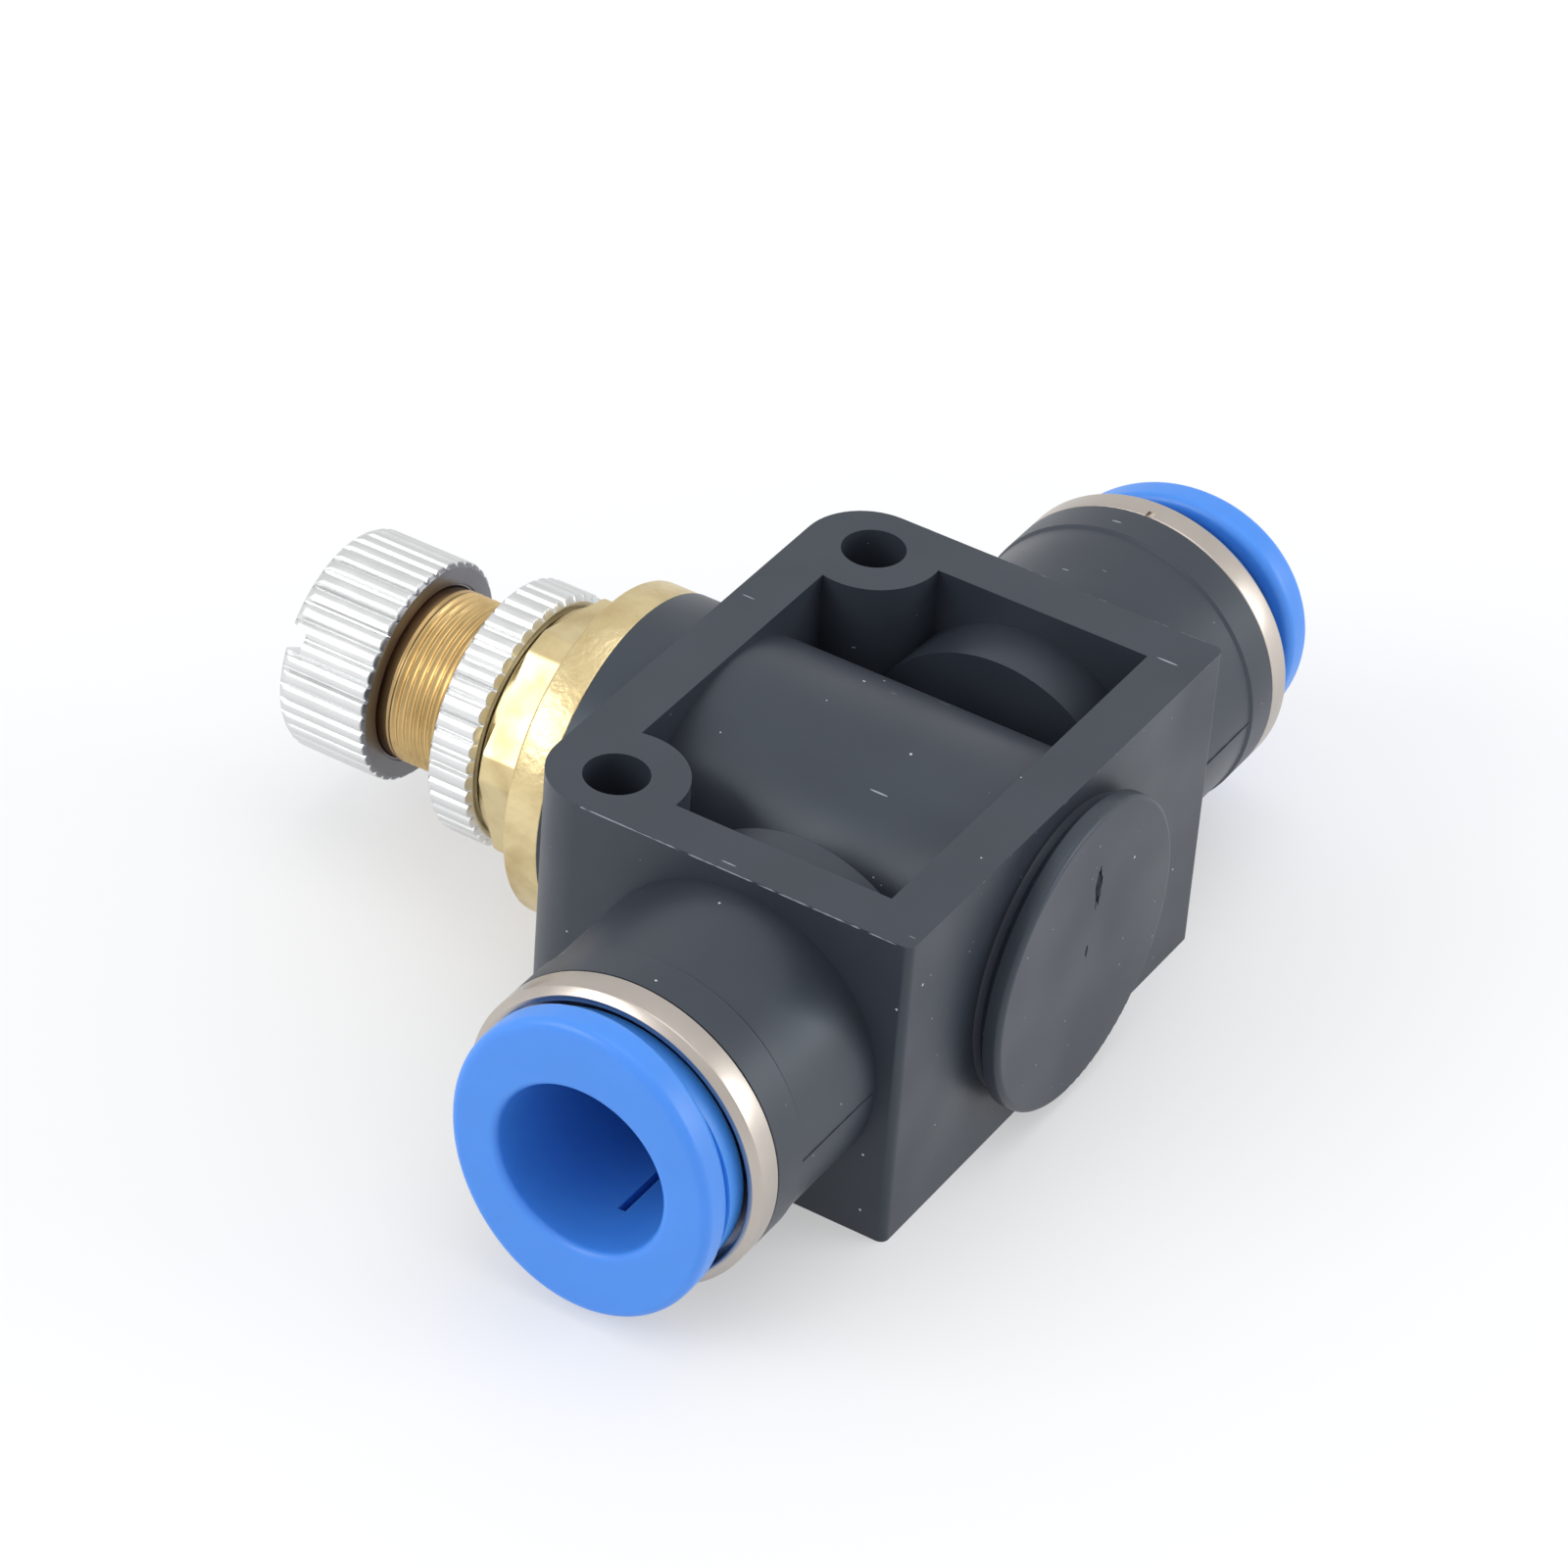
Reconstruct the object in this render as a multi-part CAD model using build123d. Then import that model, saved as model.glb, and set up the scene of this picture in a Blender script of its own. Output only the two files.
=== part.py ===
from build123d import *
import os
from math import cos, radians, sin

# Inline one-way flow control valve for 10 mm tube: a moulded body with a push-in tube fitting at each
# end and an adjustable needle across the flow, held by a brass bushing and locked by a knurled nut.
# All sizes are in millimetres. The pieces are drawn in the valve frame: X along the flow, Y along the
# needle towards its knob, Z up, with the origin where the two axes cross. They are written out in the
# row frame, whose origin lies on the base midway between the two mounting holes.

os.makedirs("parts", exist_ok=True)

# Tube and release-ring bore, which set the scale of everything else
TUBE_RADIUS = 5.0
TUBE_CLEARANCE = 0.1
PORT_BORE = TUBE_RADIUS + TUBE_CLEARANCE

# Moulded body block
HALF_LENGTH = 16.6
HALF_HEIGHT = 10.0
CAP_FACE = -10.3
KNOB_FACE = 14.25
RIM_WALL = 3.1
WEB_THICKNESS = 1.6
CAP_CORNER = 0.5
KNOB_CORNER = 3.8

# Mounting holes through the two rounded corners
HOLE_SPACING = 26.2
HOLE_ROW = 10.2
HOLE_RADIUS = 1.85
HOLE_BOSS = 4.0

# Barrel across the block, its boss on the knob side and the closed cap on the other
BARREL_RADIUS = 9.7
BOSS_RADIUS = HALF_HEIGHT
BOSS_END = 16.9
CAP_RADIUS = 9.27
CAP_END = -12.2
CAP_NECK = 8.75

# Port sleeves and the socket inside each, as distances from the needle axis
PORT_BOSS_FACE = 10.0
PORT_BOSS_RADIUS = 8.35
SLEEVE_RADIUS = 9.1
SLEEVE_NECK = 8.95
SLEEVE_BAND = 24.1
SLEEVE_END = 26.4
SLEEVE_ROOT = 0.5
TUBE_STOP = 10.9
PILOT_END = 14.2
SEAL_END = 17.4
BACKUP_END = 18.6
GUIDE_START = 20.0
CAP_SHOULDER = 25.9
CAP_RECESS = 27.0
CAP_RING_END = 28.35
PILOT_RADIUS = 5.2
SEAL_POCKET = 7.0
CARTRIDGE_RADIUS = 8.0
GUIDE_OUTER = 7.4
GUIDE_INNER = 7.0
CAP_RECESS_RADIUS = 8.35
CAP_CHAMFER = 0.45
RING_SLIDE_FIT = 0.1

# Release ring with its oval push flange
RING_RADIUS = 6.45
RING_BEAD = 6.72
RING_NOSE = 20.8
RING_NECK_RADIUS = 7.95
RING_NECK_START = 28.05
FLANGE_START = 29.4
FLANGE_END = 31.5
FLANGE_LONG = 9.2
FLANGE_SHORT = 8.0
FLANGE_ROUND = 0.4
NEAR_FLANGE_TURN = -5.0
FAR_FLANGE_TURN = 40.0
COLLET_SLITS = 3
SLIT_WIDTH = 0.5
SLIT_END = 27.5

# Grip claw, a thin toothed steel ring
CLAW_RADIUS = 7.1
CLAW_TEETH = 12
CLAW_SHEET = 0.35

# Flow passages from each socket to the two sides of the seat
PASSAGE_RADIUS = 2.5
PASSAGE_OFFSET = 4.2
PASSAGE_NECK = 3.6

# Chamber in the barrel, and the brass bushing screwed into it
CHAMBER_RADIUS = 6.0
CHAMBER_END = -8.6
SHANK_START = 9.6
SHANK_RADIUS = 7.2
FLANGE_RADIUS = 9.95
FLANGE_TOP = 19.2
HEX_TOP = 22.75
HEX_FLATS = 14.0
HEX_CORNER = 7.7
HEX_TURN = 48.0
BUSHING_TOP = 22.95
LIP_RADIUS = 6.7
BUSHING_NOSE = 7.2
GUIDE_BORE_START = 8.9
THREAD_START = 15.1
THREAD_RADIUS = 5.2
THREAD_FIT = 0.08

# Needle travel: six turns to close from the pose drawn, three turns to fully open
PITCH = 0.5
CLOSING_TRAVEL = 6 * PITCH
OPENING_TRAVEL = 3 * PITCH

# Throttle sleeve that carries the metering seat and the check seal
SEAT_TOP = 1.8
SEAT_BOTTOM = -1.0
SEAT_RADIUS = 2.6
CAGE_OUTER = 4.7
CAGE_INNER = 4.0
WINDOWS = 4

# Needle
NEEDLE_RADIUS = 3.2
NEEDLE_TIP_RADIUS = 0.9
NEEDLE_TAPER_RADIUS = 2.3
NEEDLE_TIP = 0.2
NEEDLE_O_RING_AT = 12.65

# Locknut and knob
LOCKNUT_START = 23.0
LOCKNUT_END = 25.9
LOCKNUT_RADIUS = 7.65
LOCKNUT_GROOVES = 44
KNOB_START = 30.8
KNOB_END = 36.8
KNOB_RADIUS = 6.65
KNOB_GROOVES = 40
KNOB_ROUND = 0.7
KNOB_SLOT_WIDTH = 1.5
KNOB_SLOT_DEPTH = 1.2
KNOB_SLOT_TURN = 30.0
KNURL_DEPTH = 0.3

# Clearance between pieces that are assembled together but don't move
ASSEMBLY_GAP = 0.02

NEAR = -1
FAR = 1
ROW_FRAME = Location((0, -HOLE_ROW, HALF_HEIGHT))


def turned_x(side, points, rounds=()):
    """Revolve (distance from the needle axis, radius) points about the flow axis, on one side."""
    corners = [(side * along, radius) for along, radius in points]
    return revolve(rounded_face(corners, rounds), Axis.X, 360)


def turned_y(points, rounds=()):
    """Revolve (y, radius) points about the needle axis."""
    corners = [(radius, along) for along, radius in points]
    return revolve(rounded_face(corners, rounds), Axis.Y, 360)


def rounded_face(corners, rounds):
    """Closed flat outline with some of its corners rounded, given as (corner number, radius)."""
    face = make_face(Polyline(*corners, close=True))
    for number, radius in rounds:
        corner = face.vertices().sort_by_distance(corners[number])[0]
        face = fillet(corner, radius)
    return face


def tube_x(side, start, end, outer, inner):
    """Plain ring about the flow axis."""
    return turned_x(side, [(start, inner), (end, inner), (end, outer), (start, outer)])


def rod_x(side, start, end, radius, offset=0.0):
    """Plain cylinder along the flow axis, offset along Y."""
    return Location((0, offset, 0)) * turned_x(side, [(start, 0), (end, 0), (end, radius), (start, radius)])


def rod_y(start, end, radius):
    """Plain cylinder about the needle axis."""
    return turned_y([(start, 0), (end, 0), (end, radius), (start, radius)])


def o_ring_y(centre, middle_radius, section_radius):
    """Round-section seal about the needle axis."""
    section = Pos(middle_radius, centre) * Circle(section_radius)
    return revolve(section, Axis.Y, 360)


def box_between(low, high):
    """Box from its lowest to its highest corner."""
    size = [top - bottom for bottom, top in zip(low, high)]
    centre = [(top + bottom) / 2 for bottom, top in zip(low, high)]
    return Pos(*centre) * Box(*size)


def knurled_y(start, end, radius, grooves):
    """Disc about the needle axis whose rim has straight V grooves between wide flat lands."""
    step = 360 / grooves
    points = []
    for number in range(grooves):
        middle = number * step
        for share, depth in ((-0.28, 0), (0.28, 0), (0.5, KNURL_DEPTH)):
            angle = radians(middle + share * step)
            points.append(((radius - depth) * cos(angle), (radius - depth) * sin(angle)))
    outline = make_face(Polyline(*points, close=True))
    return Plane.XZ.offset(-start) * extrude(outline, -(end - start))


def block():
    """Block outline with two near-square corners on the cap side and two rounded ones."""
    corners = [
        (-HALF_LENGTH, CAP_FACE), (HALF_LENGTH, CAP_FACE),
        (HALF_LENGTH, KNOB_FACE), (-HALF_LENGTH, KNOB_FACE),
    ]
    rounds = ((0, CAP_CORNER), (1, CAP_CORNER), (2, KNOB_CORNER), (3, KNOB_CORNER))
    return Pos(0, 0, -HALF_HEIGHT) * extrude(rounded_face(corners, rounds), 2 * HALF_HEIGHT)


def pockets():
    """The two pockets, one from the top and one from the base, that leave a web between them."""
    reach = HALF_LENGTH - RIM_WALL
    low = CAP_FACE + RIM_WALL
    high = KNOB_FACE - RIM_WALL
    top = box_between((-reach, low, WEB_THICKNESS / 2), (reach, high, HALF_HEIGHT))
    base = box_between((-reach, low, -HALF_HEIGHT), (reach, high, -WEB_THICKNESS / 2))
    return top + base


def port_socket(side):
    """Stepped hole that takes the tube, its seal and the metal cartridge."""
    return turned_x(side, [
        (TUBE_STOP, 0), (SLEEVE_END, 0), (SLEEVE_END, CARTRIDGE_RADIUS), (SEAL_END, CARTRIDGE_RADIUS),
        (SEAL_END, SEAL_POCKET), (PILOT_END, SEAL_POCKET), (PILOT_END, PILOT_RADIUS), (TUBE_STOP, PILOT_RADIUS),
    ])


def port_sleeve(side):
    """Outside of one port: a sleeve with a rounded root and a slightly wider band at its mouth."""
    root = SLEEVE_NECK + SLEEVE_ROOT
    return turned_x(side, [
        (HALF_LENGTH - RIM_WALL, 0), (SLEEVE_END, 0), (SLEEVE_END, SLEEVE_RADIUS),
        (SLEEVE_BAND, SLEEVE_RADIUS), (SLEEVE_BAND - 0.2, SLEEVE_NECK), (HALF_LENGTH, SLEEVE_NECK),
        (HALF_LENGTH, root), (HALF_LENGTH - RIM_WALL, root),
    ], ((5, SLEEVE_ROOT - 0.02),))


def valve_body():
    """Moulded body, one solid."""
    hole_at = [(sign * HOLE_SPACING / 2, HOLE_ROW) for sign in (NEAR, FAR)]
    solid = block() - pockets()
    for x, y in hole_at:
        solid += Pos(x, y, 0) * Cylinder(HOLE_BOSS, 2 * HALF_HEIGHT) & block()
    solid += rod_y(CAP_FACE + 0.5, KNOB_FACE - 0.5, BARREL_RADIUS)
    solid += rod_y(KNOB_FACE - 0.5, BOSS_END, BOSS_RADIUS)
    solid += turned_y([
        (CAP_END, 0), (CAP_END, CAP_RADIUS), (CAP_END + 1.0, CAP_RADIUS),
        (CAP_END + 1.45, CAP_NECK), (CAP_FACE + 0.5, CAP_NECK), (CAP_FACE + 0.5, 0),
    ], ((1, 0.35),))
    for side in (NEAR, FAR):
        solid += port_sleeve(side)
        solid += rod_x(side, PORT_BOSS_FACE, HALF_LENGTH, PORT_BOSS_RADIUS)
        solid += rod_x(side, CHAMBER_RADIUS, PORT_BOSS_FACE + 1, PASSAGE_NECK, side * PASSAGE_OFFSET)
    solid -= rod_y(CHAMBER_END, SHANK_START, CHAMBER_RADIUS)
    solid -= rod_y(SHANK_START, BOSS_END, SHANK_RADIUS)
    for side in (NEAR, FAR):
        solid -= port_socket(side)
        solid -= rod_x(side, 0, TUBE_STOP, PASSAGE_RADIUS, side * PASSAGE_OFFSET)
    for x, y in hole_at:
        solid -= Pos(x, y, 0) * Cylinder(HOLE_RADIUS, 2 * HALF_HEIGHT)
    return solid


def needle_bushing():
    """Brass bushing: shank with a seal groove, flange, hexagon with turned corners and a thin lip."""
    shank = SHANK_RADIUS - ASSEMBLY_GAP
    nose = CHAMBER_RADIUS - 0.05
    solid = turned_y([
        (BUSHING_NOSE, 0), (BUSHING_NOSE, nose), (SHANK_START, nose), (SHANK_START, shank),
        (11.0, shank), (11.0, 5.4), (13.3, 5.4), (13.3, shank), (BOSS_END, shank),
        (BOSS_END, FLANGE_RADIUS), (FLANGE_TOP, FLANGE_RADIUS), (FLANGE_TOP, 0),
    ])
    hexagon = Plane.XZ.offset(-FLANGE_TOP) * extrude(
        RegularPolygon(HEX_FLATS / 2, 6, major_radius=False, rotation=HEX_TURN), -(HEX_TOP - FLANGE_TOP))
    corners = turned_y([
        (FLANGE_TOP, 0), (FLANGE_TOP, HEX_CORNER), (HEX_TOP - 0.5, HEX_CORNER),
        (HEX_TOP, HEX_FLATS / 2 - 0.1), (HEX_TOP, 0),
    ])
    solid += hexagon & corners
    solid += rod_y(HEX_TOP, BUSHING_TOP, LIP_RADIUS)
    solid -= rod_y(BUSHING_NOSE, GUIDE_BORE_START, CAGE_OUTER + 0.3)
    solid -= rod_y(GUIDE_BORE_START, THREAD_START, NEEDLE_RADIUS + THREAD_FIT)
    solid -= rod_y(THREAD_START, BUSHING_TOP, THREAD_RADIUS + THREAD_FIT)
    return solid


def throttle_sleeve():
    """Brass sleeve with windows for the flow and the metering seat at its lower end."""
    collar = CAGE_OUTER + 0.3 - ASSEMBLY_GAP
    solid = turned_y([
        (SEAT_BOTTOM, SEAT_RADIUS), (SEAT_TOP, SEAT_RADIUS), (SEAT_TOP, CAGE_INNER),
        (GUIDE_BORE_START - ASSEMBLY_GAP, CAGE_INNER), (GUIDE_BORE_START - ASSEMBLY_GAP, collar),
        (BUSHING_NOSE, collar), (BUSHING_NOSE, CAGE_OUTER), (1.4, CAGE_OUTER), (1.4, 4.1), (-0.4, 4.1),
        (-0.4, CAGE_OUTER), (SEAT_BOTTOM, CAGE_OUTER),
    ])
    for number in range(WINDOWS):
        window = box_between((0, 2.6, -1.6), (CAGE_OUTER + 1, 6.4, 1.6))
        solid -= Rot(0, 45 + number * 360 / WINDOWS, 0) * window
    return solid


def check_seal():
    """Rubber lip seal: passes flow towards the knob side, closes against the chamber the other way."""
    wall = CHAMBER_RADIUS - 0.05
    inner = 4.1 + ASSEMBLY_GAP
    return turned_y([
        (-0.36, inner), (1.36, inner), (1.36, 4.9), (0.5, 5.0), (1.9, wall), (1.5, wall), (-0.36, 5.0),
    ])


def needle():
    """Brass needle: taper, guide with a seal groove, and the threaded stem that enters the knob."""
    shoulder = SEAT_TOP + CLOSING_TRAVEL + 0.1
    clip_low = GUIDE_BORE_START - OPENING_TRAVEL - 0.6
    clip_high = clip_low + 0.5
    groove_low = NEEDLE_O_RING_AT - 0.65
    groove_high = NEEDLE_O_RING_AT + 0.65
    stem_low = THREAD_START + CLOSING_TRAVEL + 0.2
    return turned_y([
        (NEEDLE_TIP, 0), (NEEDLE_TIP, NEEDLE_TIP_RADIUS), (shoulder, NEEDLE_TAPER_RADIUS),
        (shoulder + 0.9, NEEDLE_RADIUS), (clip_low, NEEDLE_RADIUS), (clip_low, 2.7), (clip_high, 2.7),
        (clip_high, NEEDLE_RADIUS), (groove_low, NEEDLE_RADIUS), (groove_low, 2.2), (groove_high, 2.2),
        (groove_high, NEEDLE_RADIUS), (stem_low, NEEDLE_RADIUS), (stem_low + 0.4, THREAD_RADIUS),
        (KNOB_END - KNOB_SLOT_DEPTH - 0.3, THREAD_RADIUS), (KNOB_END - KNOB_SLOT_DEPTH - 0.3, 0),
    ])


def needle_o_ring():
    """Seal on the needle's guide. It slides with the needle and needn't turn with it."""
    return o_ring_y(NEEDLE_O_RING_AT, 2.73, 0.49)


def needle_clip():
    """Steel snap ring that stops the needle from being screwed right out."""
    clip_low = GUIDE_BORE_START - OPENING_TRAVEL - 0.6
    ring = turned_y([
        (clip_low + 0.03, 2.7 + ASSEMBLY_GAP), (clip_low + 0.47, 2.7 + ASSEMBLY_GAP),
        (clip_low + 0.47, 3.7), (clip_low + 0.03, 3.7),
    ])
    gap = box_between((2, clip_low - 1, -1.2), (5, clip_low + 1, 1.2))
    return ring - gap


def bushing_o_ring():
    """Seal between the bushing's shank and the body."""
    return o_ring_y(12.15, 6.3, 0.88)


def knob():
    """Straight-knurled adjusting knob with a rounded outer edge, a recess and a screwdriver slot."""
    solid = knurled_y(KNOB_START, KNOB_END, KNOB_RADIUS, KNOB_GROOVES)
    solid &= turned_y([
        (KNOB_START, 0), (KNOB_START, KNOB_RADIUS - 0.2), (KNOB_START + 0.2, KNOB_RADIUS),
        (KNOB_END, KNOB_RADIUS), (KNOB_END, 0),
    ], ((3, KNOB_ROUND),))
    solid -= rod_y(KNOB_START, KNOB_START + 0.4, 5.4)
    solid -= rod_y(KNOB_START, KNOB_END - KNOB_SLOT_DEPTH - 0.28, THREAD_RADIUS + ASSEMBLY_GAP)
    slot = box_between(
        (-KNOB_RADIUS - 1, KNOB_END - KNOB_SLOT_DEPTH, -KNOB_SLOT_WIDTH / 2),
        (KNOB_RADIUS + 1, KNOB_END + 1, KNOB_SLOT_WIDTH / 2))
    return solid - Rot(0, KNOB_SLOT_TURN, 0) * slot


def locknut():
    """Straight-knurled nut on the needle's thread that jams against the bushing."""
    solid = knurled_y(LOCKNUT_START, LOCKNUT_END, LOCKNUT_RADIUS, LOCKNUT_GROOVES)
    solid &= turned_y([
        (LOCKNUT_START, 0), (LOCKNUT_START, LOCKNUT_RADIUS - 0.25), (LOCKNUT_START + 0.25, LOCKNUT_RADIUS),
        (LOCKNUT_END - 0.25, LOCKNUT_RADIUS), (LOCKNUT_END, LOCKNUT_RADIUS - 0.25), (LOCKNUT_END, 0),
    ])
    return solid - rod_y(LOCKNUT_START, LOCKNUT_END, THREAD_RADIUS + THREAD_FIT)


def cap_ring(side):
    """Nickel-plated ring at the port's mouth, with a skirt pressed into the socket."""
    skirt = CARTRIDGE_RADIUS - ASSEMBLY_GAP
    bore = RING_RADIUS + RING_SLIDE_FIT
    return turned_x(side, [
        (BACKUP_END + ASSEMBLY_GAP, GUIDE_OUTER), (CAP_SHOULDER, GUIDE_OUTER), (CAP_SHOULDER, bore),
        (CAP_RECESS, bore), (CAP_RECESS, CAP_RECESS_RADIUS), (CAP_RING_END, CAP_RECESS_RADIUS),
        (CAP_RING_END, SLEEVE_RADIUS - CAP_CHAMFER), (CAP_RING_END - CAP_CHAMFER, SLEEVE_RADIUS),
        (SLEEVE_END, SLEEVE_RADIUS), (SLEEVE_END, skirt), (BACKUP_END + ASSEMBLY_GAP, skirt),
    ])


def guide_ring(side):
    """Spacer inside the cap ring that keeps the claw in its place."""
    return tube_x(side, GUIDE_START, CAP_SHOULDER, GUIDE_OUTER - ASSEMBLY_GAP, GUIDE_INNER)


def backup_ring(side):
    """Stiff ring between the tube seal and the cartridge."""
    return tube_x(side, SEAL_END, BACKUP_END, CARTRIDGE_RADIUS - ASSEMBLY_GAP, PORT_BORE + 0.2)


def tube_seal(side):
    """Rubber seal with a lip on the tube."""
    outer = SEAL_POCKET - ASSEMBLY_GAP
    return turned_x(side, [
        (PILOT_END + 0.1, 5.6), (PILOT_END + 0.6, PORT_BORE), (PILOT_END + 1.1, PORT_BORE),
        (PILOT_END + 1.6, 5.6), (SEAL_END - 1.5, 5.6), (SEAL_END - 1.0, PORT_BORE + 0.1),
        (SEAL_END - 0.1, PORT_BORE + 0.1), (SEAL_END - 0.1, outer), (PILOT_END + 0.1, outer),
    ])


def grip_claw(side):
    """Toothed steel ring that bites the tube; its teeth lean inwards and towards the tube stop."""
    root = 5.95
    back = BACKUP_END + 0.6
    tip = back - 0.4
    solid = turned_x(side, [
        (back, root), (tip, PORT_BORE + 0.02), (tip + CLAW_SHEET, PORT_BORE + 0.02),
        (back + CLAW_SHEET, root), (back + CLAW_SHEET, CLAW_RADIUS), (back, CLAW_RADIUS),
    ])
    for number in range(CLAW_TEETH):
        slot = box_between((-back - 1, 4.5, -0.35), (back + 1, root, 0.35))
        solid -= Rot(number * 360 / CLAW_TEETH, 0, 0) * slot
    return solid


def release_ring(side, turn):
    """Blue push ring: oval flange outside, and a slit collet sleeve that reaches in to the claw."""
    bead_end = CAP_SHOULDER - 0.2
    solid = turned_x(side, [
        (RING_NOSE, PORT_BORE), (FLANGE_START + 0.5, PORT_BORE), (FLANGE_START + 0.5, RING_NECK_RADIUS - 0.6),
        (FLANGE_START, RING_NECK_RADIUS - 0.6), (FLANGE_START - 0.3, RING_NECK_RADIUS),
        (RING_NECK_START, RING_NECK_RADIUS), (RING_NECK_START, RING_RADIUS), (bead_end, RING_RADIUS),
        (bead_end, RING_BEAD), (bead_end - 0.4, RING_BEAD), (RING_NOSE, PORT_BORE + 0.35),
    ])
    oval = Plane.YZ.offset(side * FLANGE_START) * Ellipse(FLANGE_SHORT, FLANGE_LONG)
    flange = extrude(oval, side * (FLANGE_END - FLANGE_START))
    flange = fillet(flange.edges(), FLANGE_ROUND)
    mouth = turned_x(side, [
        (FLANGE_START, 0), (FLANGE_END, 0), (FLANGE_END, PORT_BORE + 0.4), (FLANGE_END - 0.4, PORT_BORE),
        (FLANGE_START, PORT_BORE),
    ])
    solid += flange - mouth
    for number in range(COLLET_SLITS):
        slit = box_between((RING_NOSE - 1, 4.0, -SLIT_WIDTH / 2), (SLIT_END, RING_BEAD + 1, SLIT_WIDTH / 2))
        if side == NEAR:
            slit = mirror(slit, Plane.YZ)
        solid -= Rot(number * 360 / COLLET_SLITS - 90, 0, 0) * slit
    return Rot(turn, 0, 0) * solid


def write(name, solid):
    """Move one piece to the row frame and write its STEP file."""
    export_step(ROW_FRAME * solid, f"parts/{name}.step")


write("valve_body", valve_body())
write("needle_bushing", needle_bushing())
write("bushing_o_ring", bushing_o_ring())
write("throttle_sleeve", throttle_sleeve())
write("check_seal", check_seal())
write("needle", needle())
write("needle_o_ring", needle_o_ring())
write("needle_clip", needle_clip())
write("knob", knob())
write("locknut", locknut())
for port, end, flange_turn in (("near", NEAR, NEAR_FLANGE_TURN), ("far", FAR, FAR_FLANGE_TURN)):
    write(f"{port}_release_ring", release_ring(end, flange_turn))
    write(f"{port}_grip_claw", grip_claw(end))
    write(f"{port}_guide_ring", guide_ring(end))
    write(f"{port}_cap_ring", cap_ring(end))
    write(f"{port}_backup_ring", backup_ring(end))
    write(f"{port}_tube_seal", tube_seal(end))
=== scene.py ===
"""Flow control valve: the shapes and finishes of its pieces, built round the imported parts."""
from math import ceil, cos, hypot, pi, radians, sin, tan
from random import Random

import bmesh
import bpy
from mathutils import Matrix, Vector


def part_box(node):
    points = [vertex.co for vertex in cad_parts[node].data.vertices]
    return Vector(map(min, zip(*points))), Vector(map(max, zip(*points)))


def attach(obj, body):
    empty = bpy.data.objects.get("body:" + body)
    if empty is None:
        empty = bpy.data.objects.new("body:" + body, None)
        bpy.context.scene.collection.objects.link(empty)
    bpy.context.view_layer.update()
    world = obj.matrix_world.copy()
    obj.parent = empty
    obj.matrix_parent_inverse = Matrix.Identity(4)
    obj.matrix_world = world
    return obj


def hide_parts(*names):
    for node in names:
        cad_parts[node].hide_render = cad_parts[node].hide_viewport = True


bl_info = {
    "name": "Flow Control Valve",
    "version": (1, 0, 0),
    "blender": (4, 5, 0),
    "location": "View3D > Sidebar > Valve",
    "description": "Builds a straight flow control valve with push-in tube ports and a needle",
    "category": "Add Mesh",
}

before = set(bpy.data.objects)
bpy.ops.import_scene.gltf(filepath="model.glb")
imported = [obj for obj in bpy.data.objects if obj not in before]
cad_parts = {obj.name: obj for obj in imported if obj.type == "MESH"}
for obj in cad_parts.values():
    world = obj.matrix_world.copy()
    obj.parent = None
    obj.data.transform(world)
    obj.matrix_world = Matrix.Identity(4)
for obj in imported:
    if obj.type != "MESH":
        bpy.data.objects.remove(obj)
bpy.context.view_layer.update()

MM = 0.001
MICRON = 1e-6

# Where the two axes run. The flow axis is along X, and the needle axis along Y.
FLOW_Y = sum(corner[1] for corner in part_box("near_cap_ring")) / 2
AXIS_Z = sum(corner[2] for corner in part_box("near_cap_ring")) / 2
SIDES = {"near": -1, "far": 1}

# The moulded block and its sleeves.
BLOCK_HALF = 16.6 * MM
CAP_FACE = FLOW_Y - 10.3 * MM
KNOB_FACE = FLOW_Y + 14.25 * MM
BLOCK_CORNER = 3.8 * MM
SLEEVE_RADIUS = 8.95 * MM
SLEEVE_END = 26.2 * MM

# Turns about the needle axis and about the flow axis, in degrees.
HEXAGON_TURN = 18
SLOT_TURN = 30
FLANGE_TURN = {"near": -5, "far": 40}

# Mesh points along one turn of the thread, and across one groove of a knurl.
THREAD_STEPS = 14
GROOVE_STEPS = 14


# ---------------------------------------------------------------- sizes and colours

def linear(colour):
    """One sRGB hex colour as linear red, green, blue."""
    parts = [int(colour[i:i + 2], 16) / 255 for i in (1, 3, 5)]
    return tuple(c / 12.92 if c <= 0.04045 else ((c + 0.055) / 1.055) ** 2.4 for c in parts)


def length(name, description, default):
    """A length in metres, given in millimetres."""
    return bpy.props.FloatProperty(
        name=name, description=description, default=default * MM, unit="LENGTH", precision=5)


def count(name, description, default):
    """A whole number of like features."""
    return bpy.props.IntProperty(name=name, description=description, default=default, min=1)


def colour(name, description, default):
    """A colour, given as sRGB hex."""
    return bpy.props.FloatVectorProperty(
        name=name, description=description, default=linear(default), subtype="COLOR", min=0, max=1)


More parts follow.
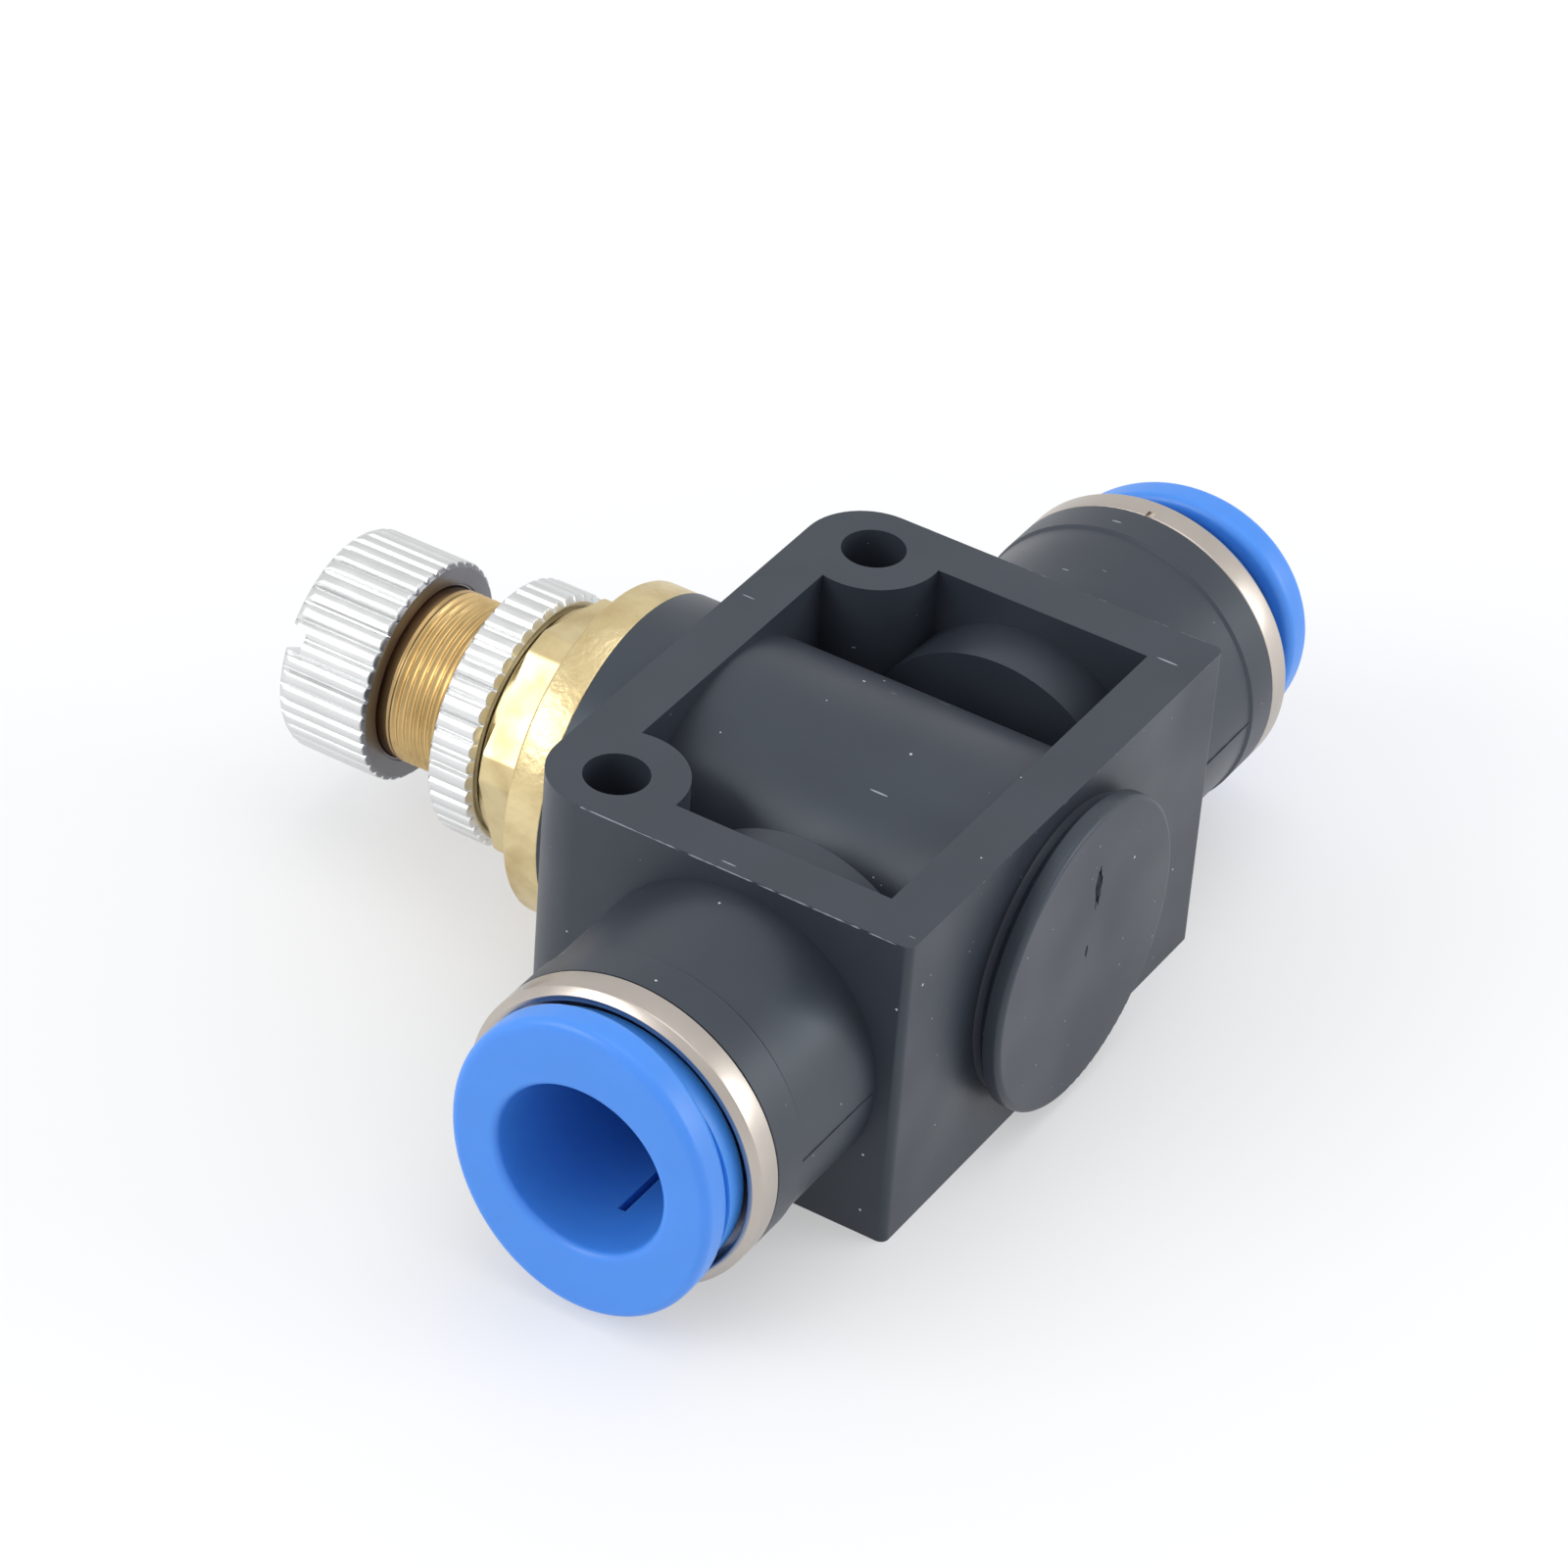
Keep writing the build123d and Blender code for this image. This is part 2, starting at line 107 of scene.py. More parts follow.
class ValveSizes(bpy.types.PropertyGroup):
    """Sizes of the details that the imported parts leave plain."""
    edge_round: length("Body edge", "Rounding on the moulded body's edges", 0.1)
    knob_radius: length("Knob radius", "Radius over the knob's lands", 6.65)
    knob_grooves: count("Knob grooves", "Grooves round the knob", 40)
    locknut_radius: length("Locknut radius", "Radius over the locknut's lands", 7.65)
    locknut_grooves: count("Locknut grooves", "Grooves round the locknut", 44)
    groove_depth: length("Groove depth", "Depth of a knurled groove", 0.34)
    slot_width: length("Slot width", "Width of the knob's slot", 1.5)
    slot_depth: length("Slot depth", "Depth of the knob's slot", 1.2)
    pitch: length("Pitch", "Thread pitch of the needle's stem", 0.5)
    thread_radius: length("Thread radius", "Radius over the stem's thread", 5.2)
    thread_depth: length("Thread depth", "Depth of the stem's thread", 0.2)
    hex_flats: length("Across flats", "Bushing hexagon across its flats", 14.0)
    hex_corner: length("Hexagon corner", "Radius that the hexagon's corners are turned to", 7.68)
    bushing_flange: length("Flange radius", "Radius of the bushing's flange", 9.95)
    bore: length("Tube bore", "Radius of the hole that takes the tube", 5.1)
    flange_long: length("Flange long", "Longer half width of the oval flange", 9.2)
    flange_short: length("Flange short", "Shorter half width of the oval flange", 8.0)
    flange_round: length("Flange edge", "Rounding on the oval flange's edges", 0.55)
    slit: length("Collet slit", "Width of a slit in the release ring's collet", 0.5)


class ValveColours(bpy.types.PropertyGroup):
    """Colours of the finishes."""
    body: colour("Body", "Moulded body", "#2B3039")
    brass: colour("Brass", "Turned brass", "#DDCB9D")
    stem: colour("Stem", "Brass of the stem, whose thread holds a film of oil", "#DCBE86")
    nickel: colour("Nickel", "Nickel plating", "#BDB5AD")
    release: colour("Release ring", "Blue acetal", "#4186DC")
    rubber: colour("Rubber", "Seals", "#15161A")
    spacer: colour("Spacer", "Guide and backup rings", "#C8C6BE")
    steel: colour("Steel", "Claw and clip", "#B9BBBE")
    floor: colour("Floor", "Pale floor", "#B3B4B6")


def sizes():
    """The sizes in use."""
    return bpy.context.scene.valve_sizes


def colours():
    """The colours in use."""
    return bpy.context.scene.valve_colours


# ---------------------------------------------------------------- making meshes

def on_flow_axis(along, radius, angle):
    """Point at a distance along the flow axis, with the angle measured from +Y towards +Z."""
    return along, FLOW_Y + radius * cos(angle), AXIS_Z + radius * sin(angle)


def on_needle_axis(along, radius, angle):
    """Point at a place along the needle axis, with the angle measured from +X towards +Z."""
    return radius * cos(angle), along, AXIS_Z + radius * sin(angle)


def softened(corners, arc_steps=4):
    """Closed outline of (along, radius) points from corners given as (along, radius, rounding)."""
    outline = []
    for number, (along, radius, rounding) in enumerate(corners):
        if not rounding:
            outline.append((along, radius))
            continue
        here = Vector((along, radius))
        before = (Vector(corners[number - 1][:2]) - here).normalized()
        after = (Vector(corners[(number + 1) % len(corners)][:2]) - here).normalized()
        half = before.angle(after) / 2
        centre = here + (before + after).normalized() * (rounding / sin(half))
        start = here + before * (rounding / tan(half)) - centre
        finish = here + after * (rounding / tan(half)) - centre
        for step in range(arc_steps + 1):
            spoke = start.lerp(finish, step / arc_steps).normalized() * rounding
            outline.append(tuple(centre + spoke))
    return outline


def finer(outline, longest):
    """The outline with its long stretches divided, so that a pattern can bend them."""
    divided = []
    for number, point in enumerate(outline):
        ahead = outline[(number + 1) % len(outline)]
        gap = hypot(ahead[0] - point[0], ahead[1] - point[1])
        parts = max(1, ceil(gap / longest))
        divided += [tuple(Vector(point).lerp(Vector(ahead), part / parts)) for part in range(parts)]
    return divided


def piece(name, mesh, body, slot, *nodes):
    """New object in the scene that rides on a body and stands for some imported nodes."""
    made = bpy.data.objects.new(name, mesh)
    bpy.context.scene.collection.objects.link(made)
    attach(made, body)
    if nodes:
        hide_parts(*nodes)
    return made


def finished_mesh(name, work, sharp_angle=32):
    """Mesh from the working one: welded, facing outwards, smooth between its sharp edges."""
    bmesh.ops.remove_doubles(work, verts=work.verts, dist=0.5 * MICRON)
    # The stretch of an outline that lies on its axis closes up to bare edges.
    bare = [edge for edge in work.edges if not edge.link_faces]
    bmesh.ops.delete(work, geom=bare, context="EDGES")
    bmesh.ops.recalc_face_normals(work, faces=work.faces)
    mesh = bpy.data.meshes.new(name)
    work.to_mesh(mesh)
    work.free()
    mesh.shade_smooth()
    mesh.set_sharp_from_angle(angle=radians(sharp_angle))
    return mesh


def turned_mesh(name, outline, place, steps, shape=None, sharp_angle=32):
    """Closed outline carried round an axis. shape(along, radius, angle) may change its radius."""
    work = bmesh.new()
    rings = []
    for along, radius in outline:
        ring = []
        for step in range(steps):
            angle = 2 * pi * step / steps
            reach = shape(along, radius, angle) if shape else radius
            ring.append(work.verts.new(place(along, reach, angle)))
        rings.append(ring)
    for number, ring in enumerate(rings):
        ahead = rings[(number + 1) % len(rings)]
        for step in range(steps):
            after = (step + 1) % steps
            work.faces.new((ring[step], ring[after], ahead[after], ahead[step]))
    return finished_mesh(name, work, sharp_angle)


def settle(made):
    """Apply a piece's modifiers to its mesh."""
    bpy.context.view_layer.update()
    graph = bpy.context.evaluated_depsgraph_get()
    mesh = bpy.data.meshes.new_from_object(made.evaluated_get(graph))
    made.modifiers.clear()
    mesh.name = made.data.name
    made.data = mesh


def cut_away(made, cutters):
    """Take the cutters' shapes out of a piece."""
    for cutter in cutters:
        cut = made.modifiers.new("cut", "BOOLEAN")
        cut.operation = "DIFFERENCE"
        cut.solver = "EXACT"
        cut.object = cutter
    settle(made)
    for cutter in cutters:
        bpy.data.objects.remove(cutter)
    made.data.shade_smooth()
    made.data.set_sharp_from_angle(angle=radians(32))


def cutter_from(work):
    """Object for cut_away, made from a working mesh."""
    mesh = bpy.data.meshes.new("cutter")
    work.to_mesh(mesh)
    work.free()
    cutter = bpy.data.objects.new("cutter", mesh)
    bpy.context.scene.collection.objects.link(cutter)
    return cutter


def block_cutter(low, high, turn=None):
    """Box from its lowest to its highest corner, turned about the given matrix."""
    work = bmesh.new()
    bmesh.ops.create_cube(work, size=1)
    for corner in work.verts:
        corner.co = Vector([
            bottom if value < 0 else top for value, bottom, top in zip(corner.co, low, high)])
    if turn:
        work.transform(turn)
    return cutter_from(work)


def knurl(radius, grooves, depth, seed):
    """Shape of a knurled rim: narrow V grooves between wide lands, each a little uneven."""
    groove_share = 0.22
    land_share = 0.5 - groove_share
    crown_share = 0.16
    dice = Random(seed)
    cuts = [(dice.uniform(0.85, 1.1), dice.uniform(-0.05, 0.05)) for _ in range(grooves)]

    def shape(along, reach, angle):
        turn = angle / (2 * pi) * grooves
        number = int(turn) % grooves
        strength, shift = cuts[number]
        off_centre = abs(turn - int(turn) - 0.5 - shift)
        groove = strength * max(0.0, 1 - off_centre / groove_share)
        crown = crown_share * max(0.0, 1 - (off_centre - groove_share) / land_share) ** 2
        return min(reach, radius - depth * max(groove, crown))

    return shape


# ---------------------------------------------------------------- materials

def add(tree, kind, settings=(), inputs=()):
    """Add a node, set what it is given, and link the inputs that are given as another node's output."""
    node = tree.nodes.new(kind)
    for name, value in dict(settings).items():
        setattr(node, name, value)
    for socket, value in dict(inputs).items():
        if isinstance(value, bpy.types.NodeSocket):
            tree.links.new(value, node.inputs[socket])
        else:
            node.inputs[socket].default_value = value
    return node


def blank_material(name):
    """Material with only a surface shader and a place in the object's own space."""
    material = bpy.data.materials.new(name)
    material.use_nodes = True
    tree = material.node_tree
    tree.nodes.clear()
    shader = add(tree, "ShaderNodeBsdfPrincipled")
    add(tree, "ShaderNodeOutputMaterial", inputs={"Surface": shader.outputs["BSDF"]})
    place = add(tree, "ShaderNodeTexCoord").outputs["Object"]
    return material, tree, shader, place


def per_metre(size_mm):
    """Texture scale whose features are about this many millimetres across."""
    return 1 / (size_mm * MM)


def opaque(rgb):
    """Colour with full alpha."""
    return (*rgb, 1)


def specked(tree, tone, place, cell_mm, chance, paint):
    """Colour with a small speck in some cells. chance is the share of the cells that stay clean."""
    cells = add(tree, "ShaderNodeTexVoronoi", inputs={"Vector": place, "Scale": per_metre(cell_mm)})
    lot = add(tree, "ShaderNodeSeparateColor", inputs={"Color": cells.outputs["Color"]})
    size = add(tree, "ShaderNodeMapRange", {"clamp": True}, {
        "Value": lot.outputs["Red"], "From Min": chance, "From Max": 1.0, "To Min": 0.0, "To Max": 0.06})
    near = add(tree, "ShaderNodeMath", {"operation": "LESS_THAN"}, {
        0: cells.outputs["Distance"], 1: size.outputs["Result"]})
    return add(tree, "ShaderNodeMix", {"data_type": "RGBA"}, {
        "Factor": near.outputs["Value"], "A": tone.outputs["Result"], "B": opaque(linear(paint))})


def moulded_nylon():
    """Glass-filled nylon, moulded: a satin slate black, faintly mottled, with dust and hair scratches."""
    material, tree, shader, place = blank_material("moulded_nylon")
    base = Vector(colours().body)
    cloud = add(tree, "ShaderNodeTexNoise", inputs={"Vector": place, "Scale": per_metre(5), "Detail": 3})
    tone = add(tree, "ShaderNodeMix", {"data_type": "RGBA"}, {
        "Factor": cloud.outputs["Fac"], "A": opaque(base * 0.85), "B": opaque(base * 1.2)})
    # Dust up to 0.18 mm across, drawn a little coarser than it is so that it shows.
    dusty = specked(tree, tone, place, 1.5, 0.62, "#B4B6BD")
    # Hair scratches up to 1.3 mm long lie in two directions.
    for turn in (0.5, 1.9):
        slanted = add(tree, "ShaderNodeMapping", inputs={
            "Vector": place, "Rotation": (turn, 0.7, turn), "Scale": (1.0, 0.09, 1.0)})
        dusty = specked(tree, dusty, slanted.outputs["Vector"], 1.0, 0.45, "#8A8F98")
    tree.links.new(dusty.outputs["Result"], shader.inputs["Base Color"])
    # Mould texture: a fine grain about 0.35 mm across, and a slow waviness from shrinkage.
    grain = add(tree, "ShaderNodeTexNoise", inputs={"Vector": place, "Scale": per_metre(0.35), "Detail": 4})
    wave = add(tree, "ShaderNodeTexNoise", inputs={"Vector": place, "Scale": per_metre(7), "Detail": 1})
    sheen = add(tree, "ShaderNodeMapRange", inputs={
        "Value": wave.outputs["Fac"], "From Min": 0.3, "From Max": 0.7, "To Min": 0.36, "To Max": 0.5})
    tree.links.new(sheen.outputs["Result"], shader.inputs["Roughness"])
    slow = add(tree, "ShaderNodeBump", inputs={
        "Strength": 0.1, "Distance": 0.05 * MM, "Height": wave.outputs["Fac"]})
    fine = add(tree, "ShaderNodeBump", inputs={
        "Strength": 0.35, "Distance": 0.012 * MM, "Height": grain.outputs["Fac"],
        "Normal": slow.outputs["Normal"]})
    tree.links.new(fine.outputs["Normal"], shader.inputs["Normal"])
    shader.inputs["IOR"].default_value = 1.53
    shader.inputs["Specular Tint"].default_value = (0.84, 0.93, 1.0, 1)
    return material


def around_needle(tree, place):
    """Distance from the needle axis, and distance along it, for lines left by a lathe."""
    parts = add(tree, "ShaderNodeSeparateXYZ", inputs={"Vector": place})
    height = add(tree, "ShaderNodeMath", {"operation": "SUBTRACT"}, {0: parts.outputs["Z"], 1: AXIS_Z})
    flat = add(tree, "ShaderNodeCombineXYZ", inputs={
        "X": parts.outputs["X"], "Y": height.outputs["Value"]})
    reach = add(tree, "ShaderNodeVectorMath", {"operation": "LENGTH"}, {0: flat.outputs["Vector"]})
    return reach.outputs["Value"], parts.outputs["Y"]


def shaded_along_needle(tree, tone, place, clean, shade_full, stain):
    """Colour that goes over to a painted shade between two places along the needle axis."""
    parts = add(tree, "ShaderNodeSeparateXYZ", inputs={"Vector": place})
    reach = add(tree, "ShaderNodeMapRange", inputs={
        "Value": parts.outputs["Y"], "From Min": FLOW_Y + clean * MM, "From Max": FLOW_Y + shade_full * MM})
    # Painted shade: from the first place to the second, the colour goes over to the given shade colour.
    return add(tree, "ShaderNodeMix", {"data_type": "RGBA"}, {
        "Factor": reach.outputs["Result"], "A": tone.outputs["Result"], "B": opaque(linear(stain))})


def turned_brass():
    """Brass, turned: bright and yellow, with fine lathe lines round the needle axis and a few stains."""
    return lathe_brass("turned_brass", Vector(colours().brass))


def stem_brass():
    """Brass, thread cut: as turned_brass, going over to a painted dark brown shade beside the knob."""
    # Painted shade: dark brown from 29.7 mm to 30.8 mm along the needle axis, beside the knob.
    return lathe_brass("stem_brass", Vector(colours().stem), (29.7, 30.8, "#7E5A3F"))


def lathe_brass(name, base, shade_band=None):
    """Brass with lathe lines, and a painted shade between two places along the needle axis if it is given.
    """
    material, tree, shader, place = blank_material(name)
    reach, along = around_needle(tree, place)
    lathe = add(tree, "ShaderNodeCombineXYZ", inputs={"X": reach, "Y": along})
    # Tool marks, drawn about 0.2 mm apart because the real ones are too fine to show.
    lines = add(tree, "ShaderNodeTexNoise", inputs={
        "Vector": lathe.outputs["Vector"], "Scale": per_metre(0.22), "Detail": 3, "Roughness": 0.6})
    stain = add(tree, "ShaderNodeTexNoise", inputs={"Vector": place, "Scale": per_metre(2.5), "Detail": 5})
    tint = add(tree, "ShaderNodeMapRange", inputs={
        "Value": stain.outputs["Fac"], "From Min": 0.42, "From Max": 0.72, "To Min": 0.0, "To Max": 0.45})
    tone = add(tree, "ShaderNodeMix", {"data_type": "RGBA"}, {
        "Factor": tint.outputs["Result"], "A": opaque(base), "B": opaque(linear("#9C8049"))})
    if shade_band:
        # Painted shade between the two places that are given.
        tone = shaded_along_needle(tree, tone, place, *shade_band)
    tree.links.new(tone.outputs["Result"], shader.inputs["Base Color"])
    polish = add(tree, "ShaderNodeMapRange", inputs={
        "Value": stain.outputs["Fac"], "From Min": 0.3, "From Max": 0.7, "To Min": 0.28, "To Max": 0.42})
    tree.links.new(polish.outputs["Result"], shader.inputs["Roughness"])
    marks = add(tree, "ShaderNodeBump", inputs={
        "Strength": 0.5, "Distance": 0.012 * MM, "Height": lines.outputs["Fac"]})
    # Knocks from handling, about 0.5 mm across, are on the flange. The hexagon was cut clean.
    knocks = add(tree, "ShaderNodeTexNoise", inputs={"Vector": place, "Scale": per_metre(0.5), "Detail": 5})
    knocked = add(tree, "ShaderNodeMapRange", inputs={
        "Value": along, "From Min": FLOW_Y + 19.2 * MM, "From Max": FLOW_Y + 19.3 * MM,
        "To Min": 1.0, "To Max": 0.12})
    dented = add(tree, "ShaderNodeBump", inputs={
        "Strength": knocked.outputs["Result"], "Distance": 0.06 * MM, "Height": knocks.outputs["Fac"],
        "Normal": marks.outputs["Normal"]})
    tree.links.new(dented.outputs["Normal"], shader.inputs["Normal"])
    shader.inputs["Metallic"].default_value = 1.0
    return material


def plated_metal(name, base, low, high, dent_mm, bare=None):
    """Nickel plating over a turned or pressed part: bright warm grey, with soft wear and small dents."""
    material, tree, shader, place = blank_material(name)
    wear = add(tree, "ShaderNodeTexNoise", inputs={"Vector": place, "Scale": per_metre(1.8), "Detail": 6})
    tone = add(tree, "ShaderNodeMix", {"data_type": "RGBA"}, {
        "Factor": wear.outputs["Fac"], "A": opaque(base * 0.92), "B": opaque(base * 1.05)})
    if bare:
        # bare, when given, paints shade between two places along the needle axis.
        tone = shaded_along_needle(tree, tone, place, *bare)
    tree.links.new(tone.outputs["Result"], shader.inputs["Base Color"])
    polish = add(tree, "ShaderNodeMapRange", inputs={
        "Value": wear.outputs["Fac"], "From Min": 0.35, "From Max": 0.65, "To Min": low, "To Max": high})
    tree.links.new(polish.outputs["Result"], shader.inputs["Roughness"])
    dents = add(tree, "ShaderNodeTexNoise", inputs={
        "Vector": place, "Scale": per_metre(dent_mm), "Detail": 3})
    bump = add(tree, "ShaderNodeBump", inputs={
        "Strength": 0.3, "Distance": 0.008 * MM, "Height": dents.outputs["Fac"]})
    tree.links.new(bump.outputs["Normal"], shader.inputs["Normal"])
    shader.inputs["Metallic"].default_value = 1.0
    return material


def blue_acetal():
    """Acetal, moulded: a smooth blue with a waxy depth and a soft gloss."""
    material, tree, shader, place = blank_material("blue_acetal")
    base = Vector(colours().release)
    cloud = add(tree, "ShaderNodeTexNoise", inputs={"Vector": place, "Scale": per_metre(4), "Detail": 2})
    tone = add(tree, "ShaderNodeMix", {"data_type": "RGBA"}, {
        "Factor": cloud.outputs["Fac"], "A": opaque(base * 0.94), "B": opaque(base * 1.05)})
    tree.links.new(tone.outputs["Result"], shader.inputs["Base Color"])
    ripple = add(tree, "ShaderNodeTexNoise", inputs={"Vector": place, "Scale": per_metre(0.9), "Detail": 3})
    bump = add(tree, "ShaderNodeBump", inputs={
        "Strength": 0.25, "Distance": 0.02 * MM, "Height": ripple.outputs["Fac"]})
    tree.links.new(bump.outputs["Normal"], shader.inputs["Normal"])
    shader.inputs["Roughness"].default_value = 0.38
    shader.inputs["IOR"].default_value = 1.48
    shader.inputs["Subsurface Weight"].default_value = 0.5
    shader.inputs["Subsurface Scale"].default_value = 1.2 * MM
    shader.inputs["Subsurface Radius"].default_value = (0.3, 0.6, 1.0)
    return material


def plain_material(name, base, roughness, metallic=0.0):
    """Finish for the pieces inside: moulded rubber, moulded acetal or stamped stainless steel."""
    material, tree, shader, place = blank_material(name)
    grain = add(tree, "ShaderNodeTexNoise", inputs={"Vector": place, "Scale": per_metre(0.4), "Detail": 2})
    tone = add(tree, "ShaderNodeMix", {"data_type": "RGBA"}, {
        "Factor": grain.outputs["Fac"], "A": opaque(base * 0.9), "B": opaque(base * 1.08)})
    tree.links.new(tone.outputs["Result"], shader.inputs["Base Color"])
    shader.inputs["Roughness"].default_value = roughness
    shader.inputs["Metallic"].default_value = metallic
    return material


def painted(made, material):
    """Give a piece one material."""
    made.data.materials.clear()
    made.data.materials.append(material)


def finish_of(name, make):
    """The named material, made the first time that it is asked for."""
    return bpy.data.materials.get(name) or make()


# ---------------------------------------------------------------- outlines

def needle_outline(corners):
    """Outline about the needle axis from millimetres: distance from the flow axis, radius, rounding."""
    return softened([
        (FLOW_Y + along * MM, radius * MM, rounding * MM) for along, radius, rounding in corners])


def flow_outline(side, corners, arc_steps):
    """Outline about the flow axis from millimetres: distance from the needle axis, radius, rounding."""
    return softened([
        (side * along * MM, radius * MM, rounding * MM) for along, radius, rounding in corners], arc_steps)


# ---------------------------------------------------------------- operators, one for each group of pieces

class VALVE_OT_body(bpy.types.Operator):
    """Moulded body with softened edges"""
    bl_idname = "valve.body"
    bl_label = "Body"

    def execute(self, context):
        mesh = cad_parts["valve_body"].data.copy()
        mesh.name = "moulded_body"
        work = bmesh.new()
        work.from_mesh(mesh)
        crisp_sleeve_corners(work)
        bmesh.ops.remove_doubles(work, verts=work.verts, dist=2 * MICRON)
        bmesh.ops.dissolve_degenerate(work, dist=MICRON, edges=work.edges)
        bmesh.ops.dissolve_limit(
            work, angle_limit=radians(0.3), verts=work.verts, edges=work.edges)
        work.to_mesh(mesh)
        work.free()
        mesh.shade_smooth()
        made = piece("moulded_body", mesh, "valve", "body_plastic", "valve_body")
        soft = made.modifiers.new("edges", "BEVEL")
        soft.width = sizes().edge_round
        soft.segments = 2
        soft.limit_method = "ANGLE"
        soft.angle_limit = radians(30)
        settle(made)
        cut_away(made, [gate_scar(12, 1.3, (0.5, 4.4)), gate_scar(5, 0.45, (-0.1, 0.4))])
        evenly_shaded(made)
        painted(made, finish_of("moulded_nylon", moulded_nylon))
        return {"FINISHED"}


def crisp_sleeve_corners(work):
    """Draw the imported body's small fillet at the foot of each sleeve into the corner behind it."""
    fillet = 0.55 * MM
    radius = SLEEVE_RADIUS / MM
    for corner in work.verts:
        beyond = abs(corner.co.x) - BLOCK_HALF
        spoke = Vector((0, corner.co.y - FLOW_Y, corner.co.z - AXIS_Z))
        past_sleeve = spoke.length - SLEEVE_RADIUS
        if -MICRON < beyond < fillet and -0.05 * MM < past_sleeve < fillet:
            # In this order, because the bevel that follows turns on the last digit.
            spoke = spoke.normalized() * radius * MM
            end = BLOCK_HALF if corner.co.x > 0 else -BLOCK_HALF
            corner.co = Vector((end, FLOW_Y + spoke.y, AXIS_Z + spoke.z))


def evenly_shaded(made):
    """Keep the large faces' own direction, so that only the soft edges between them turn."""
    work = bmesh.new()
    work.from_mesh(made.data)
    for edge in work.edges:
        edge.smooth = len(edge.link_faces) == 2 and edge.calc_face_angle() < radians(40)
    work.to_mesh(made.data)
    work.free()
    even = made.modifiers.new("normals", "WEIGHTED_NORMAL")
    even.weight = 100
    even.keep_sharp = True
    settle(made)


def gate_scar(seed, size_mm, offset_mm):
    """Cutter for a ragged pit in the cap's face, where the moulding was broken off its runner.

    size_mm is half its height. offset_mm is its place sideways and upwards from the needle axis.
    """
    dice = Random(seed)
    work = bmesh.new()
    bmesh.ops.create_icosphere(work, subdivisions=3, radius=1)
    for corner in work.verts:
        ragged = 1 + dice.uniform(-0.22, 0.22)
        corner.co = Vector((corner.co.x * 0.26 * ragged, corner.co.y * 0.3, corner.co.z * ragged))
    work.transform(Matrix.Scale(size_mm * MM, 4))
    cutter = cutter_from(work)
    cutter.location = (offset_mm[0] * MM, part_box("valve_body")[0].y, AXIS_Z + offset_mm[1] * MM)
    return cutter


def bead(name, points, width_mm, height_mm, seed):
    """Thin uneven ridge of plastic along a line of points, for flash and for a parting line."""
    dice = Random(seed)
    work = bmesh.new()
    rings = []
    for number, point in enumerate(points):
        here = Vector(point)
        ahead = Vector(points[min(number + 1, len(points) - 1)]) - Vector(points[max(number - 1, 0)])
        across = ahead.normalized().orthogonal().normalized()
        other = ahead.normalized().cross(across)
        taper = 0.15 if number in (0, len(points) - 1) else dice.uniform(0.55, 1.0)
        half = MM / 2 * taper
        rings.append([
            work.verts.new(here + (across * cos(angle) * width_mm + other * sin(angle) * height_mm) * half)
            for angle in (0, pi / 2, pi, 3 * pi / 2)])
    for ring, ahead in zip(rings, rings[1:]):
        for side in range(4):
            work.faces.new((ring[side], ring[(side + 1) % 4], ahead[(side + 1) % 4], ahead[side]))
    work.faces.new(rings[0])
    work.faces.new(rings[-1])
    return piece(name, finished_mesh(name, work), "valve", "body_plastic")


def even_points(start, finish, spacing_mm):
    """Points along a straight line, about this far apart."""
    start, finish = Vector(start), Vector(finish)
    parts = max(2, round((finish - start).length / (spacing_mm * MM)))
    return [start.lerp(finish, part / parts) for part in range(parts + 1)]


class VALVE_OT_flash(bpy.types.Operator):
    """Thin flash along the block's top edges and the parting line at mid height"""
    bl_idname = "valve.flash"
    bl_label = "Flash and Parting Line"

    def execute(self, context):
        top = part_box("valve_body")[1].z - 0.05 * MM
        cap_end = CAP_FACE + 0.6 * MM
        side_end = BLOCK_HALF - 0.6 * MM
        # The flash along the top edges is painted pale, a painted highlight along those edges.
        edge_highlight = plain_material("painted_highlight_nylon", Vector(linear("#8A8F98")), 0.55)
        for port, side in SIDES.items():
            edge = side * (BLOCK_HALF - 0.03 * MM)
            line = even_points((edge, cap_end, top), (edge, KNOB_FACE - BLOCK_CORNER, top), 0.35)
            painted(bead(port + "_end_flash", line, 0.14, 0.1, side + 4), edge_highlight)
            for name, reach in (("front", -1), ("back", 1)):
                beside = FLOW_Y + reach * (SLEEVE_RADIUS + 0.02 * MM)
                start = side * (BLOCK_HALF + 0.3 * MM)
                line = even_points((start, beside, AXIS_Z), (side * SLEEVE_END, beside, AXIS_Z), 0.6)
                made = bead(f"{port}_{name}_parting_line", line, 0.14, 0.14, 9)
                painted(made, finish_of("moulded_nylon", moulded_nylon))
        edge = CAP_FACE + 0.03 * MM
        line = even_points((-side_end, edge, top), (side_end, edge, top), 0.35)
        painted(bead("cap_side_flash", line, 0.1, 0.08, 21), edge_highlight)
        return {"FINISHED"}


def hexagon_shape(flats, corner, turn):
    """Shape of a hexagon whose corners are turned to a round, with flats facing turn + 60 degrees each."""
    def shape(along, reach, angle):
        off = (angle - turn + pi / 6) % (pi / 3) - pi / 6
        return min(reach, corner, flats / 2 / cos(off))
    return shape


